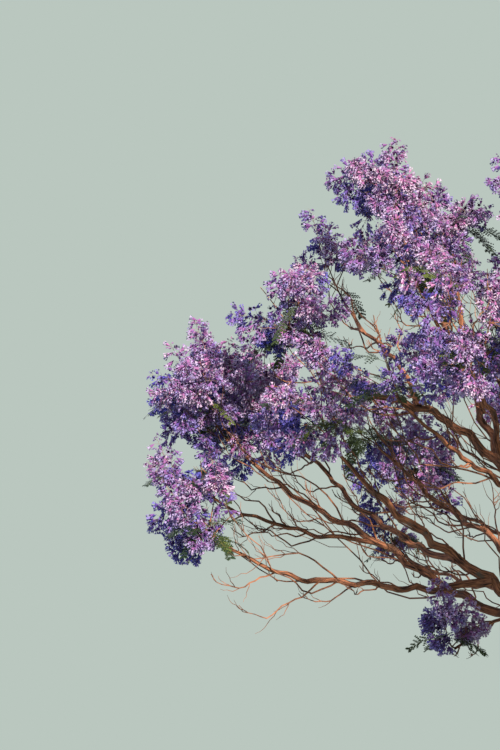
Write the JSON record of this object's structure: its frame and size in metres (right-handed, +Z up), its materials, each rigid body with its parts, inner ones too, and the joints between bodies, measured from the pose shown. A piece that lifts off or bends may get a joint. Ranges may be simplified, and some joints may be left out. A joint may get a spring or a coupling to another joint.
{
  "type": "jacaranda tree",
  "caption": "Whole jacaranda tree in full violet blossom: flared trunk, low fork, spreading sinuous limbs and an umbrella crown of blossom masses.",
  "frame": {"origin": "centre of the flat cut under the trunk, at ground level", "axes": "+Z straight up from the level ground; the camera side of the crown faces -Y, and the limbs that the picture shows spread towards -X"},
  "size_m": [7.0646, 6.587, 6.4805],
  "materials": {
    "bark": "rough grey-brown to orange-brown bark with shallow furrows",
    "blossom": "soft violet and lilac petals, with some dark green feathery leaves"
  },
  "bodies": {
    "root": {"bough_back_east": "bark", "bough_back_high": "bark", "bough_back_west": "bark", "bough_crest": "bark", "bough_crest_back": "bark", "bough_east_back": "bark", "bough_east_front": "bark", "bough_east_high": "bark", "bough_far_west": "bark", "bough_front_east": "bark", "bough_front_high": "bark", "bough_front_west": "bark", "bough_hanging": "bark", "bough_inner_west": "bark", "bough_low_west": "bark", "bough_mid_west": "bark", "bough_near_peak": "bark", "bough_near_west": "bark", "bough_outer_west": "bark", "bough_peak": "bark", "bough_small_back": "bark", "bough_top_back": "bark", "bough_top_front": "bark", "limb_back": "bark", "limb_east": "bark", "limb_front": "bark", "limb_high": "bark", "limb_top": "bark", "limb_west": "bark", "mass_back": "blossom", "mass_back_east": "blossom", "mass_back_high": "blossom", "mass_back_west": "blossom", "mass_crest": "blossom", "mass_crest_back": "blossom", "mass_east": "blossom", "mass_east_back": "blossom", "mass_east_front": "blossom", "mass_east_high": "blossom", "mass_far_west": "blossom", "mass_front": "blossom", "mass_front_east": "blossom", "mass_front_high": "blossom", "mass_front_west": "blossom", "mass_hanging": "blossom", "mass_high": "blossom", "mass_inner_west": "blossom", "mass_low_west": "blossom", "mass_mid_west": "blossom", "mass_near_peak": "blossom", "mass_near_west": "blossom", "mass_outer_west": "blossom", "mass_peak": "blossom", "mass_small_back": "blossom", "mass_top": "blossom", "mass_top_back": "blossom", "mass_top_front": "blossom", "mass_west": "blossom", "trunk": "bark"}
  },
  "joints": []
}
